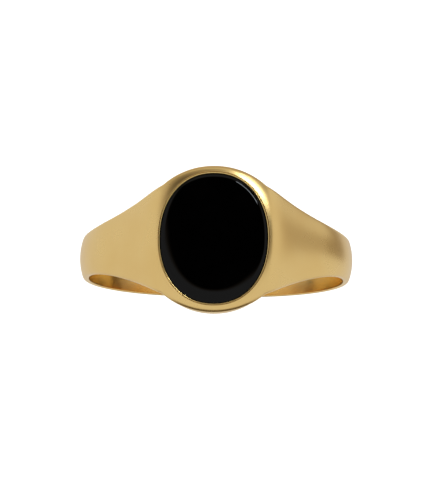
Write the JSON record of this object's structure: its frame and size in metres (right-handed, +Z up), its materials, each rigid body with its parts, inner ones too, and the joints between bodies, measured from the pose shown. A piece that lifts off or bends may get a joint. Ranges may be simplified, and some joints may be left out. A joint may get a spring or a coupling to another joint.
{
  "type": "signet ring",
  "caption": "Gold signet ring with tapering shoulders and an oval black onyx tablet set flush in the head.",
  "frame": {"origin": "centre of the finger bore, midway along the finger", "axes": "+Y along the finger bore, +Z up through the stone, +X across the shoulders"},
  "size_m": [0.0206, 0.0108, 0.0213],
  "materials": {
    "gold_satin": "satin yellow gold with fine brushing",
    "gold_polished": "burnished yellow gold",
    "onyx": "polished black onyx",
    "cement": "dull dark setting cement"
  },
  "bodies": {
    "root": {"ring_body": "gold_satin", "backing_plate": "gold_polished", "bearer_ring": "gold_polished", "setting_cement": "cement", "onyx_tablet": "onyx", "bezel_collar": "gold_polished"}
  },
  "joints": []
}
